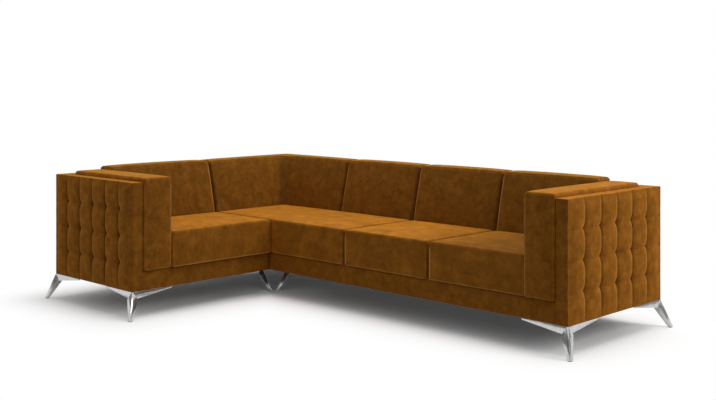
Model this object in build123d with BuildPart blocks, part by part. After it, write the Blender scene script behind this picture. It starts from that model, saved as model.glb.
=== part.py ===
from build123d import *
import os
from math import sqrt

# L-shaped corner sofa in three bolted modules: the main run, the corner and the return.
# Millimetres, +Z up. The origin is on the floor, under the middle of the plan box.
# The main back runs along X at the top of the plan, the return back along Y at its left.

os.makedirs("parts", exist_ok=True)

# Heights above the floor
underside = 147.0
rail_top = 256.0
seat_edge = 446.0
panel_top = 744.0
arm_edge = 764.0
back_edge = 779.0

# Plan of the upholstery
main_depth = 880.0
return_depth = 817.0
seat_width = 625.0
seat_count = 3
return_seat_width = 737.0
return_overhang = 22.0
seat_setback = 2.0
arm_width = 173.0
arm_proud = 4.0
end_panel_thickness = 68.0
back_panel_thickness = 92.0
rail_pad_thickness = 25.0
backrest_foot = 203.0
backrest_head = 118.0
backrest_kink = 452.0

# Soft forms: crowns, rounded shoulders and drawn-in sides
seat_crown = 16.0
seat_shoulder = 22.0
back_crown = 13.0
back_shoulder = 20.0
back_belly = 9.0
arm_crown = 5.0
arm_shoulder = 10.0
side_draw = 3.0
corner_ease = 0.5
crest_step = 4.0

# Biscuit tufts on the end panels
tuft_columns = 6
tuft_rows = 4
column_groove = 15.0
row_groove = 9.0
row_crest = 3.0
edge_roll = 3.0

# Timber, boards and cloth inside
timber_thickness = 40.0
deck_thickness = 12.0
dust_cloth = 2.0
board_thickness = 30.0
board_margin = 60.0
seam_setback = 10.0

# Metal legs
leg_splay = 46.5
leg_head_side = 5.0
leg_waist_side = 41.0
leg_waist_drop = 40.0
leg_foot_side = 20.0
wing_length = 262.0
wing_drop = 43.0
wing_tip = 7.0
wing_thickness = 9.0
leg_plate_side = 168.0
leg_plate_thickness = 5.0
glide_thickness = 3.0
glide_side = 16.0
main_leg_inset = 134.0
return_leg_inset = 100.0

# Fasteners
screw_radius = 3.0
screw_head_radius = 6.0
screw_head = 3.5
screw_bite = 35.0
screw_reach = 130.0
screw_pitch = 80.0
bolt_radius = 4.0
bolt_head_radius = 8.0
bolt_head = 6.0
bolt_inset = 150.0

# Clearances
cushion_gap = 4.0
seat_lift_gap = 0.3
arm_gap = 2.0
back_gap = 0.5
hole_gap = 0.3
pilot_gap = 0.05

# Lines of the plan
overall_length = (return_depth + return_overhang + seat_count * seat_width
                  + arm_width + arm_gap + end_panel_thickness)
return_length = (main_depth - seat_setback + return_seat_width
                 + arm_width + arm_gap + end_panel_thickness)
x_left = -overall_length / 2
x_right = overall_length / 2
y_end = -return_length / 2
y_back = return_length / 2
x_front = x_left + return_depth
y_front = y_back - main_depth
x_seat = x_front + return_overhang
y_seat = y_front + seat_setback
x_inner = x_left + back_panel_thickness
y_inner = y_back - back_panel_thickness
x_end_inner = x_right - end_panel_thickness
y_end_inner = y_end + end_panel_thickness
x_arm = x_end_inner - arm_gap - arm_width
y_arm = y_end_inner + arm_gap + arm_width
x_rail = x_front - rail_pad_thickness
y_rail = y_front + rail_pad_thickness
x_rest = x_inner + back_gap + backrest_foot
y_rest = y_inner - back_gap - backrest_foot
half_gap = cushion_gap / 2
timber_base = underside + dust_cloth
timber_top = rail_top - deck_thickness
timber_mid = (timber_base + timber_top) / 2
half_timber = timber_thickness / 2

# Seams of the three modules
x_seam = x_seat - seam_setback
y_seam = y_rail

# Each leg: its corner in plan, its turn about Z, and the two screws in the timbers above it
legs = {
    "leg_right_front": ((x_right, y_front), 270, (
        (x_right - screw_reach, y_rail + half_timber),
        (x_end_inner - half_timber, y_front + screw_reach))),
    "leg_right_rear": ((x_right, y_back), 0, (
        (x_right - screw_reach, y_inner - half_timber),
        (x_end_inner - half_timber, y_inner - timber_thickness - half_timber))),
    "leg_return_front": ((x_front, y_end), 270, (
        (x_rail - half_timber, y_end + screw_reach),
        (x_front - screw_reach, y_end_inner + half_timber))),
    "leg_return_rear": ((x_left, y_end), 180, (
        (x_inner + half_timber, y_end + screw_reach),
        (x_inner + timber_thickness + half_timber, y_end_inner + half_timber))),
    "leg_corner_rear": ((x_left, y_back), 90, (
        (x_inner + timber_thickness, y_inner - half_timber),
        (x_inner + half_timber, y_inner - timber_thickness - half_timber))),
    "leg_main_inner": ((x_seam, y_front + main_leg_inset), 180, (
        (x_seam + half_timber, y_front + main_leg_inset + leg_waist_side + half_timber),
        (x_seam + half_timber, y_front + main_leg_inset + leg_waist_side + half_timber + screw_pitch))),
    "leg_main_rear": ((x_seam, y_back), 90, (
        (x_seam + half_timber, y_inner - half_timber),
        (x_seam + half_timber + screw_pitch, y_inner - half_timber))),
    "leg_return_inner": ((x_front - return_leg_inset, y_seam), 0, (
        (x_front - return_leg_inset - leg_waist_side - half_timber, y_seam - half_timber),
        (x_front - return_leg_inset - leg_waist_side - half_timber - screw_pitch, y_seam - half_timber))),
    "leg_return_seam": ((x_left, y_seam), 90, (
        (x_inner + half_timber, y_seam - half_timber),
        (x_inner + half_timber, y_seam - half_timber - screw_pitch))),
}
leg_screws = [point for _, _, points in legs.values() for point in points]

# Bolts that pull the modules together, as plan points on the seams
x_seam_bolts = (y_rail + bolt_inset, y_inner - bolt_inset)
y_seam_bolts = (x_inner + bolt_inset, x_rail - bolt_inset)


def inside(points, low, high):
    return [p for p in points if low[0] < p[0] < high[0] and low[1] < p[1] < high[1]]


# A plain block between two corners, with upright holes at the given plan points
def block(node, low, high, holes=(), hole_radius=0.0):
    middle = tuple((a + b) / 2 for a, b in zip(low, high))
    width, depth, height = [b - a for a, b in zip(low, high)]
    with BuildPart() as body:
        with Locations(middle):
            Box(width, depth, height)
        if holes:
            with Locations(*[(x, y, middle[2]) for x, y in holes]):
                Cylinder(hole_radius, height, mode=Mode.SUBTRACT)
    body.part.label = node
    export_step(body.part, f"parts/{node}.step")


# A frame timber with pilot holes for the leg screws and, on a seam, holes for the module bolts
def timber(node, x_low, x_high, y_low, y_high, bolts=(), bolt_turn=(0, 0, 0)):
    low = (x_low, y_low, timber_base)
    high = (x_high, y_high, timber_top)
    pilots = inside(leg_screws, low, high)
    pilot_depth = screw_bite - dust_cloth
    with BuildPart() as beam:
        with Locations(((x_low + x_high) / 2, (y_low + y_high) / 2, timber_mid)):
            Box(x_high - x_low, y_high - y_low, timber_top - timber_base)
        if pilots:
            with Locations(*[(x, y, timber_base + pilot_depth / 2) for x, y in pilots]):
                Cylinder(screw_radius + pilot_gap, pilot_depth, mode=Mode.SUBTRACT)
        if bolts:
            with Locations(*bolts):
                Cylinder(bolt_radius + hole_gap, timber_thickness, rotation=bolt_turn, mode=Mode.SUBTRACT)
    beam.part.label = node
    export_step(beam.part, f"parts/{node}.step")


# One edge of a tufted face: a row of arcs between grooves, with the outer ends only rolled over
def tuft_edge(count, length, crest, groove, roll):
    pitch = length / count
    for i in range(count):
        start = roll if i == 0 else groove
        end = roll if i == count - 1 else groove
        ThreePointArc((i * pitch, start), ((i + 0.5) * pitch, crest), ((i + 1) * pitch, end))


# An upholstered end panel on a plan plane: local x runs along its outer face, local y inwards.
# Upright pleats and cross rows meet in sewn tufts, and a board lies in a pocket of the inner face.
def tufted_panel(node, plan, length):
    height = panel_top - underside
    upright = Plane(origin=plan.origin, x_dir=plan.z_dir, z_dir=plan.x_dir)
    pocket = Plane(origin=plan.from_local_coords((0, end_panel_thickness, 0)),
                   x_dir=plan.x_dir, z_dir=-plan.y_dir)
    with BuildPart() as panel:
        with BuildSketch(plan):
            with BuildLine():
                tuft_edge(tuft_columns, length, 0, column_groove, edge_roll)
                Polyline((length, edge_roll), (length, end_panel_thickness),
                         (0, end_panel_thickness), (0, edge_roll))
            make_face()
        extrude(amount=height)
        with BuildSketch(upright):
            with BuildLine():
                tuft_edge(tuft_rows, height, row_crest, -row_groove, -edge_roll)
                Polyline((height, -edge_roll), (height, -end_panel_thickness),
                         (0, -end_panel_thickness), (0, -edge_roll))
            make_face()
        extrude(amount=length, mode=Mode.INTERSECT)
        with BuildSketch(pocket):
            with Locations((length / 2, height / 2)):
                Rectangle(length - 2 * board_margin, height - 2 * board_margin)
        extrude(amount=board_thickness, mode=Mode.SUBTRACT)
    panel.part.label = node
    export_step(panel.part, f"parts/{node}.step")


# An outside back panel between two corners, with a board pocket in the given inner face
def back_panel(node, low, high, pocket_face):
    middle = tuple((a + b) / 2 for a, b in zip(low, high))
    width, depth, height = [b - a for a, b in zip(low, high)]
    with BuildPart() as panel:
        with Locations(middle):
            Box(width, depth, height)
        with BuildSketch(pocket_face):
            Rectangle(max(width, depth) - 2 * board_margin, height - 2 * board_margin)
        extrude(amount=board_thickness, mode=Mode.SUBTRACT)
    panel.part.label = node
    export_step(panel.part, f"parts/{node}.step")


# Closed outline of a cushion's elevation: flat base, straight sides, rounded shoulders, crowned top
def crowned_outline(width, height, crown, shoulder):
    corner = shoulder * (1 - sqrt(0.5))
    Polyline((0, height - shoulder), (0, 0), (width, 0), (width, height - shoulder))
    ThreePointArc((width, height - shoulder), (width - corner, height - corner), (width - shoulder, height))
    ThreePointArc((width - shoulder, height), (width / 2, height + crown), (shoulder, height))
    ThreePointArc((shoulder, height), (corner, height - corner), (0, height - shoulder))


# Closed plan outline of a box cushion, with eased corners and sides that draw in between them
def drawn_outline(width, depth, ease, draw):
    right = width - ease
    rear = depth - ease
    ThreePointArc((ease, ease), (width / 2, draw), (right, ease))
    ThreePointArc((right, ease), (width - draw, depth / 2), (right, rear))
    ThreePointArc((right, rear), (width / 2, depth - draw), (ease, rear))
    ThreePointArc((ease, rear), (draw, depth / 2), (ease, ease))


# A box cushion between two corners: the low corner is on its base, the high one at its top edge
def box_cushion(node, low, high, crown, shoulder):
    width, depth, height = [b - a for a, b in zip(low, high)]
    front = Plane(origin=(low[0], high[1], low[2]), x_dir=(1, 0, 0), z_dir=(0, -1, 0))
    side = Plane(origin=low, x_dir=(0, 1, 0), z_dir=(1, 0, 0))
    with BuildPart() as cushion:
        with BuildSketch(front):
            with BuildLine():
                crowned_outline(width, height, crown, shoulder)
            make_face()
        extrude(amount=depth)
        with BuildSketch(side):
            with BuildLine():
                crowned_outline(depth, height, crown + crest_step, shoulder)
            make_face()
        extrude(amount=width, mode=Mode.INTERSECT)
        with BuildSketch(Plane(origin=low)):
            with BuildLine():
                drawn_outline(width, depth, corner_ease, side_draw)
            make_face()
        extrude(amount=height + crown + crest_step, mode=Mode.INTERSECT)
    cushion.part.label = node
    export_step(cushion.part, f"parts/{node}.step")


# Closed side outline of a backrest cushion: local x runs forwards from the panel, local y upwards.
# The front stands upright behind the seat, then leans back with a slight belly up to the head.
def backrest_outline():
    kink = backrest_kink - rail_top
    head = back_edge - rail_top
    lean = backrest_foot - backrest_head
    belly_x = (backrest_foot + backrest_head) / 2 + back_belly
    belly_y = (kink + head - back_shoulder) / 2
    front_x = backrest_head + lean * back_shoulder / (head - kink)
    corner = back_shoulder * (1 - sqrt(0.5))
    Polyline((back_shoulder, head), (0, head - back_shoulder), (0, 0), (backrest_foot, 0),
             (backrest_foot, kink))
    ThreePointArc((backrest_foot, kink), (belly_x, belly_y), (front_x, head - back_shoulder))
    ThreePointArc((front_x, head - back_shoulder), (front_x - corner, head - corner),
                  (front_x - back_shoulder, head))
    ThreePointArc((front_x - back_shoulder, head), (front_x / 2, head + back_crown), (back_shoulder, head))


# Front outline of a backrest cushion: a rounded shoulder at each free end, and a level top up to
# the end, start or finish, where the cushion turns the corner
def backrest_front(length, turning):
    head = back_edge - rail_top
    crest = head + back_crown + crest_step
    corner = back_shoulder * (1 - sqrt(0.5))
    free, far, step = (length, 0, -1) if turning == "start" else (0, length, 1)
    middle = length / 2
    shoulder_x = free + step * back_shoulder
    Polyline((free, head - back_shoulder), (free, 0), (far, 0))
    ThreePointArc((free, head - back_shoulder), (free + step * corner, head - corner), (shoulder_x, head))
    if turning:
        Polyline((far, 0), (far, crest), (middle, crest))
        ThreePointArc((middle, crest), ((middle + shoulder_x) / 2, head + back_crown), (shoulder_x, head))
    else:
        Line((far, 0), (far, head - back_shoulder))
        ThreePointArc((far, head - back_shoulder), (far - corner, head - corner),
                      (far - back_shoulder, head))
        ThreePointArc((far - back_shoulder, head), (middle, crest), (shoulder_x, head))


# A backrest cushion in one run, or in two that turn the corner. Each run has a side plane, with local x
# forwards, local y upwards and local z along the run, a length, the end that turns, and its mitre
def backrest_cushion(node, *runs):
    with BuildPart() as cushion:
        for side, length, turning, mitre in runs:
            front = Plane(origin=side.origin, x_dir=side.z_dir, z_dir=-side.x_dir)
            with BuildPart():
                with BuildSketch(side):
                    with BuildLine():
                        backrest_outline()
                    make_face()
                extrude(amount=length)
                with BuildSketch(front):
                    with BuildLine():
                        backrest_front(length, turning)
                    make_face()
                extrude(amount=-backrest_foot, mode=Mode.INTERSECT)
                if turning:
                    with BuildSketch(Plane.XY.offset(rail_top)):
                        with BuildLine():
                            Polyline(*mitre, close=True)
                        make_face()
                    extrude(amount=back_edge - rail_top + back_crown + crest_step, mode=Mode.SUBTRACT)
    cushion.part.label = node
    export_step(cushion.part, f"parts/{node}.step")


# A splayed leg in one casting: a square column whose outer edge is the ridge, pointed at its head and
# widest where the wings end, two wings that taper along the rails, and a screw plate between them.
# At turn 0 the leg leans to +X and +Y.
def leg(node, corner, turn, screws):
    plan = Plane(origin=(corner[0], corner[1], 0)).rotated((0, 0, turn))
    top = plan.offset(underside)
    along_x = Plane(origin=top.origin, x_dir=plan.x_dir, z_dir=-plan.y_dir)
    along_y = Plane(origin=top.origin, x_dir=-plan.y_dir, z_dir=-plan.x_dir)
    foot_middle = leg_splay - leg_foot_side / 2
    waist_middle = leg_splay * leg_waist_drop / (underside - glide_thickness) - leg_waist_side / 2
    with BuildPart() as casting:
        with BuildSketch(plan.offset(glide_thickness)):
            with Locations((foot_middle, foot_middle)):
                Rectangle(leg_foot_side, leg_foot_side)
        with BuildSketch(plan.offset(underside - leg_waist_drop)):
            with Locations((waist_middle, waist_middle)):
                Rectangle(leg_waist_side, leg_waist_side)
        with BuildSketch(top):
            with Locations((-leg_head_side / 2, -leg_head_side / 2)):
                Rectangle(leg_head_side, leg_head_side)
        loft(ruled=True)
        for wing, direction in ((along_x, -1), (along_y, 1)):
            with BuildSketch(wing):
                with BuildLine():
                    Polyline((0, 0), (direction * wing_length, 0), (direction * wing_length, -wing_tip),
                             (0, -wing_drop), close=True)
                make_face()
            extrude(amount=wing_thickness)
        with BuildSketch(top):
            with Locations((-leg_plate_side / 2, -leg_plate_side / 2)):
                Rectangle(leg_plate_side, leg_plate_side)
        extrude(amount=-leg_plate_thickness)
        with Locations(*[(x, y, underside - leg_plate_thickness / 2) for x, y in screws]):
            Cylinder(screw_radius + hole_gap, leg_plate_thickness, mode=Mode.SUBTRACT)
    casting.part.label = node
    export_step(casting.part, f"parts/{node}.step")


# End panels and outside back panels
tufted_panel("end_panel_right", Plane(origin=(x_right, y_front, underside), x_dir=(0, 1, 0)), main_depth)
tufted_panel("end_panel_return", Plane(origin=(x_left, y_end, underside), x_dir=(1, 0, 0)), return_depth)
panel_mid = (underside + panel_top) / 2
backs = {
    "main": ((x_seam, y_inner), (x_end_inner, y_back)),
    "corner_main": ((x_left, y_inner), (x_seam, y_back)),
    "corner_return": ((x_left, y_seam), (x_inner, y_inner)),
    "return": ((x_left, y_end_inner), (x_inner, y_seam)),
}
for name, (low, high) in backs.items():
    x_mid = (low[0] + high[0]) / 2
    y_mid = (low[1] + high[1]) / 2
    if "return" in name:
        face = Plane(origin=(x_inner, y_mid, panel_mid), x_dir=(0, 1, 0), z_dir=(-1, 0, 0))
        board_low = (x_inner - board_thickness, low[1] + board_margin)
        board_high = (x_inner, high[1] - board_margin)
    else:
        face = Plane(origin=(x_mid, y_inner, panel_mid), x_dir=(1, 0, 0), z_dir=(0, 1, 0))
        board_low = (low[0] + board_margin, y_inner)
        board_high = (high[0] - board_margin, y_inner + board_thickness)
    back_panel(f"back_panel_{name}", (*low, underside), (*high, panel_top), face)
    block(f"back_board_{name}", (*board_low, underside + board_margin),
          (*board_high, panel_top - board_margin))
block("end_board_right", (x_end_inner, y_front + board_margin, underside + board_margin),
      (x_end_inner + board_thickness, y_back - board_margin, panel_top - board_margin))
block("end_board_return", (x_left + board_margin, y_end_inner - board_thickness, underside + board_margin),
      (x_front - board_margin, y_end_inner, panel_top - board_margin))

# Padded front rails
block("front_rail_main", (x_rail, y_front, underside), (x_end_inner, y_rail, rail_top))
block("front_rail_return", (x_rail, y_end_inner, underside), (x_front, y_front, rail_top))

# Timber frames of the three modules
timber_spans = {
    "main_front_timber": (x_seam, x_end_inner, y_rail, y_rail + timber_thickness),
    "main_back_timber": (x_seam, x_end_inner, y_inner - timber_thickness, y_inner),
    "corner_back_timber": (x_inner, x_seam, y_inner - timber_thickness, y_inner),
    "return_front_timber": (x_rail - timber_thickness, x_rail, y_end_inner, y_seam),
    "return_back_timber": (x_inner, x_inner + timber_thickness, y_end_inner, y_seam),
}
for name, span in timber_spans.items():
    timber(name, *span)
cross_low = y_rail + timber_thickness
cross_high = y_inner - timber_thickness
cross_bolts = [(x_seam, y, timber_mid) for y in x_seam_bolts]
timber("main_left_timber", x_seam, x_seam + timber_thickness, cross_low, cross_high,
       [(x + half_timber, y, z) for x, y, z in cross_bolts], (0, 90, 0))
for i in range(1, seat_count):
    x_cross = x_seat + i * seat_width
    timber(f"main_cross_timber_{i}", x_cross - half_timber, x_cross + half_timber, cross_low, cross_high)
timber("main_right_timber", x_end_inner - timber_thickness, x_end_inner, cross_low, cross_high)
timber("corner_left_timber", x_inner, x_inner + timber_thickness, y_seam, cross_high)
timber("corner_right_timber", x_seam - timber_thickness, x_seam, y_seam + timber_thickness, cross_high,
       [(x - half_timber, y, z) for x, y, z in cross_bolts], (0, 90, 0))
seam_bolts = [(x, y_seam, timber_mid) for x in y_seam_bolts]
timber("corner_front_timber", x_inner + timber_thickness, x_seam, y_seam, y_seam + timber_thickness,
       [(x, y + half_timber, z) for x, y, z in seam_bolts], (90, 0, 0))
return_low = x_inner + timber_thickness
return_high = x_rail - timber_thickness
timber("return_inner_timber", return_low, return_high, y_seam - timber_thickness, y_seam,
       [(x, y - half_timber, z) for x, y, z in seam_bolts], (90, 0, 0))
timber("return_outer_timber", return_low, return_high, y_end_inner, y_end_inner + timber_thickness)

# Seat decks on the timbers, and dust cloths under them
modules = {
    "main": ((x_seam, y_rail), (x_end_inner, y_inner)),
    "corner": ((x_inner, y_seam), (x_seam, y_inner)),
    "return": ((x_inner, y_end_inner), (x_rail, y_seam)),
}
for name, (low, high) in modules.items():
    block(f"seat_deck_{name}", (*low, timber_top), (*high, rail_top))
    block(f"dust_cover_{name}", (*low, underside), (*high, timber_base),
          inside(leg_screws, low, high), screw_radius + hole_gap)

# Loose seat cushions. One long cushion covers the corner and the first place of the main run.
seat_base = rail_top + seat_lift_gap
box_cushion("seat_cushion_corner", (x_rest + half_gap, y_seat, seat_base),
            (x_seat + seat_width - half_gap, y_rest - half_gap, seat_edge), seat_crown, seat_shoulder)
for i in range(1, seat_count):
    x_low = x_seat + i * seat_width
    box_cushion(f"seat_cushion_main_{i}", (x_low + half_gap, y_seat, seat_base),
                (x_low + seat_width - half_gap, y_rest - half_gap, seat_edge), seat_crown, seat_shoulder)
box_cushion("seat_cushion_return", (x_rest + half_gap, y_arm + half_gap, seat_base),
            (x_seat, y_seat - cushion_gap, seat_edge), seat_crown, seat_shoulder)

# Arm pads, which stand on the decks and the front rails
box_cushion("arm_pad_right", (x_arm, y_front - arm_proud, rail_top),
            (x_arm + arm_width, y_inner - arm_gap, arm_edge), arm_crown, arm_shoulder)
box_cushion("arm_pad_return", (x_inner + arm_gap, y_arm - arm_width, rail_top),
            (x_front + arm_proud, y_arm, arm_edge), arm_crown, arm_shoulder)

# Backrest cushions. The corner one has a run along each back, joined in a mitre.
rest_y = y_inner - back_gap
rest_x = x_inner + back_gap
for i in range(seat_count):
    x_high = x_seat + (i + 1) * seat_width - half_gap
    main_side = Plane(origin=(x_high, rest_y, rail_top), x_dir=(0, -1, 0), z_dir=(-1, 0, 0))
    backrest_cushion(f"back_cushion_main_{i + 1}", (main_side, seat_width - cushion_gap, None, ()))
outer_corner = (rest_x, rest_y)
inner_corner = (rest_x + backrest_foot, rest_y - backrest_foot)
corner_end = x_seat - half_gap
corner_side = Plane(origin=(corner_end, rest_y, rail_top), x_dir=(0, -1, 0), z_dir=(-1, 0, 0))
turned_side = Plane(origin=(rest_x, rest_y, rail_top), x_dir=(1, 0, 0), z_dir=(0, -1, 0))
backrest_cushion("back_cushion_corner",
                 (corner_side, corner_end - rest_x, "finish",
                  (outer_corner, inner_corner, (rest_x, rest_y - backrest_foot))),
                 (turned_side, rest_y - y_seat - half_gap, "start",
                  (outer_corner, inner_corner, (rest_x + backrest_foot, rest_y))))
return_side = Plane(origin=(rest_x, y_seat - half_gap, rail_top), x_dir=(1, 0, 0), z_dir=(0, -1, 0))
backrest_cushion("back_cushion_return", (return_side, y_seat - y_arm - cushion_gap, None, ()))

# Legs with their screws and glides
for name, (corner, turn, points) in legs.items():
    leg(name, corner, turn, points)
with BuildPart() as screws:
    plate_face = underside - leg_plate_thickness
    shank = leg_plate_thickness + screw_bite
    with Locations(*[(x, y, plate_face + shank / 2) for x, y in leg_screws]):
        Cylinder(screw_radius, shank)
    with Locations(*[(x, y, plate_face - screw_head / 2) for x, y in leg_screws]):
        Cylinder(screw_head_radius, screw_head)
screws.part.label = "leg_screws"
export_step(screws.part, "parts/leg_screws.step")
foot_middle = leg_splay - leg_foot_side / 2
outward = {0: (1, 1), 90: (-1, 1), 180: (-1, -1), 270: (1, -1)}
with BuildPart() as glides:
    for corner, turn, _ in legs.values():
        x_sign, y_sign = outward[turn]
        x_foot = corner[0] + x_sign * foot_middle
        y_foot = corner[1] + y_sign * foot_middle
        with Locations((x_foot, y_foot, glide_thickness / 2)):
            Box(glide_side, glide_side, glide_thickness)
glides.part.label = "foot_glides"
export_step(glides.part, "parts/foot_glides.step")

# Bolts across the two module seams, a head on the corner's side and a nut on the other
with BuildPart() as bolts:
    grip = 2 * timber_thickness
    turns = [((x_seam, y, timber_mid), (0, 90, 0), (1, 0)) for y in x_seam_bolts]
    turns += [((x, y_seam, timber_mid), (90, 0, 0), (0, 1)) for x in y_seam_bolts]
    for (x, y, z), turn, (x_step, y_step) in turns:
        with Locations((x, y, z)):
            Cylinder(bolt_radius, grip, rotation=turn)
        reach = timber_thickness + bolt_head / 2
        with Locations((x + x_step * reach, y + y_step * reach, z),
                       (x - x_step * reach, y - y_step * reach, z)):
            Cylinder(bolt_head_radius, bolt_head, rotation=turn)
bolts.part.label = "module_bolts"
export_step(bolts.part, "parts/module_bolts.step")
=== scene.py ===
import math
import bmesh
import bpy
import numpy as np
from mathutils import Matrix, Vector


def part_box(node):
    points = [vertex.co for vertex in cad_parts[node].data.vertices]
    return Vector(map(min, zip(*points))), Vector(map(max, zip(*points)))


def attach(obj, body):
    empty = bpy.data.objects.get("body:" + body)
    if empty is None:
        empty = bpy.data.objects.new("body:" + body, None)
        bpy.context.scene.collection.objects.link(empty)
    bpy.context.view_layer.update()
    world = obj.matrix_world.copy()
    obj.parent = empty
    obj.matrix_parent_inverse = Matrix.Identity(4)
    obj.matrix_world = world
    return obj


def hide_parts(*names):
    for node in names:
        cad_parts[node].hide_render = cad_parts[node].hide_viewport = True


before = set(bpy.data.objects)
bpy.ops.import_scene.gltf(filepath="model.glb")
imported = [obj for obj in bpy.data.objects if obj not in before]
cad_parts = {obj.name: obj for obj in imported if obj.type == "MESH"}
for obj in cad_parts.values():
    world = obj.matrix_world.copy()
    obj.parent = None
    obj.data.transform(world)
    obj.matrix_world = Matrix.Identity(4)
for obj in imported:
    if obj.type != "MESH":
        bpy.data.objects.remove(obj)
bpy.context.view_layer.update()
print("frame loaded:", len(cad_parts), "nodes")

frameBody = "sofa_frame"
onFace = 0.01    # a point within this share of a side lies on its face
hair = 1e-6    # metres, less than any step between points


def clearSelection():
    if bpy.context.object and bpy.context.object.mode != "OBJECT":
        bpy.ops.object.mode_set(mode="OBJECT")
    bpy.ops.object.select_all(action="DESELECT")


def makeActive(piece):
    clearSelection()
    piece.select_set(True)
    bpy.context.view_layer.objects.active = piece


def readPoints(piece):
    points = np.zeros(len(piece.data.vertices) * 3)
    piece.data.vertices.foreach_get("co", points)
    return points.reshape(-1, 3)


def writePoints(piece, points):
    piece.data.vertices.foreach_set("co", points.astype(np.float32).ravel())
    piece.data.update()


# A value on each point, for the material to read
def writeValues(piece, label, values):
    kept = piece.data.attributes.new(label, "FLOAT", "POINT")
    kept.data.foreach_set("value", values.astype(np.float32))


def nodeBox(node):
    low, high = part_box(node)
    return np.array(low), np.array(high)


def newTree(name):
    material = bpy.data.materials.new(name)
    material.use_nodes = True
    tree = material.node_tree
    tree.nodes.clear()
    return material, tree


def linkOrSet(tree, socket, value):
    if isinstance(value, bpy.types.NodeSocket):
        tree.links.new(value, socket)
    else:
        socket.default_value = value


def addNode(tree, kind, inputs=None, **settings):
    node = tree.nodes.new(kind)
    for key, value in settings.items():
        setattr(node, key, value)
    for key, value in (inputs or {}).items():
        linkOrSet(tree, node.inputs[key], value)
    return node


def maths(tree, operation, first, second, clamped=False):
    node = addNode(tree, "ShaderNodeMath", {0: first, 1: second}, operation=operation, use_clamp=clamped)
    return node.outputs[0]


def vectorMaths(tree, operation, first, second=(0, 0, 0)):
    return addNode(tree, "ShaderNodeVectorMath", {0: first, 1: second}, operation=operation).outputs[0]


def mapRange(tree, value, **ends):
    names = {"fromMin": "From Min", "fromMax": "From Max", "toMin": "To Min", "toMax": "To Max"}
    inputs = {names[end]: place for end, place in ends.items()}
    return addNode(tree, "ShaderNodeMapRange", {"Value": value, **inputs}).outputs[0]


def addNoise(tree, place, scale, detail, roughness=0.5, distortion=0.0):
    return addNode(tree, "ShaderNodeTexNoise", {
        "Vector": place, "Scale": scale, "Detail": detail, "Roughness": roughness,
        "Distortion": distortion}).outputs["Fac"]


def addBump(tree, height, strength, depth, below=None):
    inputs = {"Height": height, "Strength": strength, "Distance": depth}
    if below is not None:
        inputs["Normal"] = below
    return addNode(tree, "ShaderNodeBump", inputs).outputs[0]


def addSurface(tree, inputs):
    shader = addNode(tree, "ShaderNodeBsdfPrincipled", inputs)
    addNode(tree, "ShaderNodeOutputMaterial", {"Surface": shader.outputs[0]})


def colourRamp(tree, factor, stops):
    ramp = addNode(tree, "ShaderNodeValToRGB", {"Fac": factor})
    while len(ramp.color_ramp.elements) < len(stops):
        ramp.color_ramp.elements.new(0.5)
    for element, (place, colour) in zip(ramp.color_ramp.elements, stops):
        element.position = place
        element.color = (*colour, 1)
    return ramp.outputs["Color"]


def mixSockets(tree, dataType, kind, first, second, share):
    node = addNode(tree, "ShaderNodeMix", data_type=dataType)
    for name, wanted, value in (("Factor", "VALUE", share), ("A", kind, first), ("B", kind, second)):
        linkOrSet(tree, next(s for s in node.inputs if s.name == name and s.type == wanted), value)
    return next(s for s in node.outputs if s.type == kind)


def mixValues(tree, first, second, share):
    return mixSockets(tree, "FLOAT", "VALUE", first, second, share)


def mixColours(tree, first, second, share):
    return mixSockets(tree, "RGBA", "RGBA", first, second, share)


def newGroup(name, inputs, outputs):
    group = bpy.data.node_groups.new(name, "ShaderNodeTree")
    for label, kind, value in inputs:
        socket = group.interface.new_socket(label, in_out="INPUT", socket_type=kind)
        if value is not None:
            socket.default_value = value
    for label, kind in outputs:
        group.interface.new_socket(label, in_out="OUTPUT", socket_type=kind)
    return group, group.nodes.new("NodeGroupInput").outputs, group.nodes.new("NodeGroupOutput").inputs


pileLook = {"patchRoughness": 0.78, "streakWaver": 1.1, "fibreScale": 420.0, "lieFrom": 0.36, "lieTo": 0.64}


# The lie of a brushed pile: broad cloudy patches, streaks along one way and fine fibre
def makePileGroup():
    look = pileLook
    group, given, out = newGroup("brushedPile", [
        ("Vector", "NodeSocketVector", None),
        ("Patch Size", "NodeSocketFloat", 6.0),
        ("Streak Share", "NodeSocketFloat", 0.3),
        ("Stretch", "NodeSocketVector", (4.0, 22.0, 22.0))],
        [("Lie", "NodeSocketFloat"), ("Fibre", "NodeSocketFloat")])
    patches = addNoise(group, given["Vector"], given["Patch Size"], detail=8.0,
                       roughness=look["patchRoughness"], distortion=0.2)
    stretched = vectorMaths(group, "MULTIPLY", given["Vector"], given["Stretch"])
    streaks = addNoise(group, stretched, 1.0, detail=4.0, roughness=0.6, distortion=look["streakWaver"])
    both = mixValues(group, patches, streaks, given["Streak Share"])
    fibre = addNoise(group, given["Vector"], look["fibreScale"], detail=3.0, roughness=0.7)
    group.links.new(mapRange(group, both, fromMin=look["lieFrom"], fromMax=look["lieTo"]), out["Lie"])
    group.links.new(fibre, out["Fibre"])
    return group


# Long grain with soft growth bands, for the timbers and the ply
def makeGrainGroup():
    group, given, out = newGroup("woodGrain", [
        ("Vector", "NodeSocketVector", None),
        ("Stretch", "NodeSocketVector", (2.0, 30.0, 30.0))],
        [("Grain", "NodeSocketFloat"), ("Pores", "NodeSocketFloat")])
    stretched = vectorMaths(group, "MULTIPLY", given["Vector"], given["Stretch"])
    bands = addNoise(group, stretched, 1.0, detail=4.0, roughness=0.55, distortion=0.6)
    pores = addNoise(group, stretched, 9.0, detail=3.0, roughness=0.7)
    group.links.new(bands, out["Grain"])
    group.links.new(pores, out["Pores"])
    return group


pileGroup = makePileGroup()
grainGroup = makeGrainGroup()

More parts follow.
